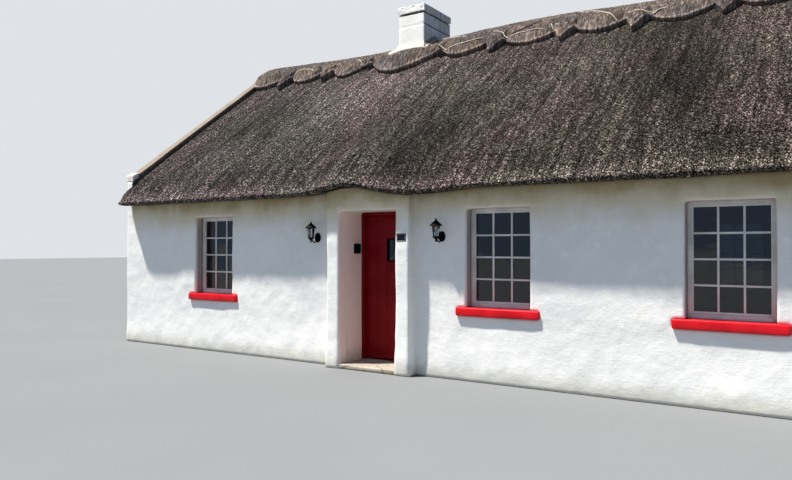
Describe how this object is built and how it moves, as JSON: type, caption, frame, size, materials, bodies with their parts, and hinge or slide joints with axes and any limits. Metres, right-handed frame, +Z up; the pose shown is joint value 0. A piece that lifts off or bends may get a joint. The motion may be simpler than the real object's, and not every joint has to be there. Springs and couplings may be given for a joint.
{
  "type": "thatched cottage",
  "caption": "Long single-storey whitewashed cottage with a thick thatched roof, scalloped ridge, masonry gables, chimney, deep porch surround, hinged front door and small-paned windows.",
  "frame": {"origin": "on the ground, under the middle of the cottage's footprint with its eaves", "axes": "+X along the front wall to the right as seen from outside, +Y from the front into the house, +Z up"},
  "size_m": [11.69, 7.39, 5.898],
  "materials": {
    "limewash": "rough limewashed plaster over rubble stone",
    "thatch": "weathered reed, ends showing",
    "ridge": "weathered straw ridge",
    "sill_red": "gloss red masonry paint",
    "door_red": "red gloss paint",
    "window_paint": "satin white paint",
    "glass": "clear",
    "black_metal": "satin black",
    "slate_plate": "glazed dark blue",
    "coping": "weathered lime mortar",
    "stone": "worn flags",
    "timber": "rough sawn"
  },
  "bodies": {
    "house": {"back_wall": "limewash", "chimney_apron": "limewash", "chimney_breast": "limewash", "chimney_cap": "limewash", "chimney_stack": "limewash", "coping_left_back": "coping", "coping_left_front": "coping", "coping_right_back": "coping", "coping_right_front": "coping", "door_frame": "door_red", "door_step": "stone", "floor_slab": "stone", "front_wall_left": "limewash", "front_wall_over_door": "limewash", "front_wall_right": "limewash", "gable_wall_left": "limewash", "gable_wall_right": "limewash", "key_box": "black_metal", "lantern_left": "black_metal", "lantern_right": "black_metal", "number_plate": "slate_plate", "porch_head": "limewash", "porch_pier_left": "limewash", "porch_pier_right": "limewash", "roof_truss_1": "timber", "roof_truss_2": "timber", "roof_truss_3": "timber", "roof_truss_4": "timber", "thatch_back": "thatch", "thatch_front": "thatch", "thatch_ridge": "ridge", "window_back_left_frame": "window_paint", "window_back_left_glass": "glass", "window_back_left_sill": "sill_red", "window_back_right_frame": "window_paint", "window_back_right_glass": "glass", "window_back_right_sill": "sill_red", "window_front_left_frame": "window_paint", "window_front_left_glass": "glass", "window_front_left_sill": "sill_red", "window_front_middle_frame": "window_paint", "window_front_middle_glass": "glass", "window_front_middle_sill": "sill_red", "window_front_right_frame": "window_paint", "window_front_right_glass": "glass", "window_front_right_sill": "sill_red"},
    "door": {"door_handle_inside": "black_metal", "door_handle_outside": "black_metal", "door_leaf": "door_red", "door_light": "glass"}
  },
  "joints": [
    {"name": "door_hinge", "type": "hinge", "parent": "house", "child": "door", "pos_m": [-1.0475, -2.8915, 0], "axis": [0, 0, 1], "range_deg": [0, 90]}
  ]
}
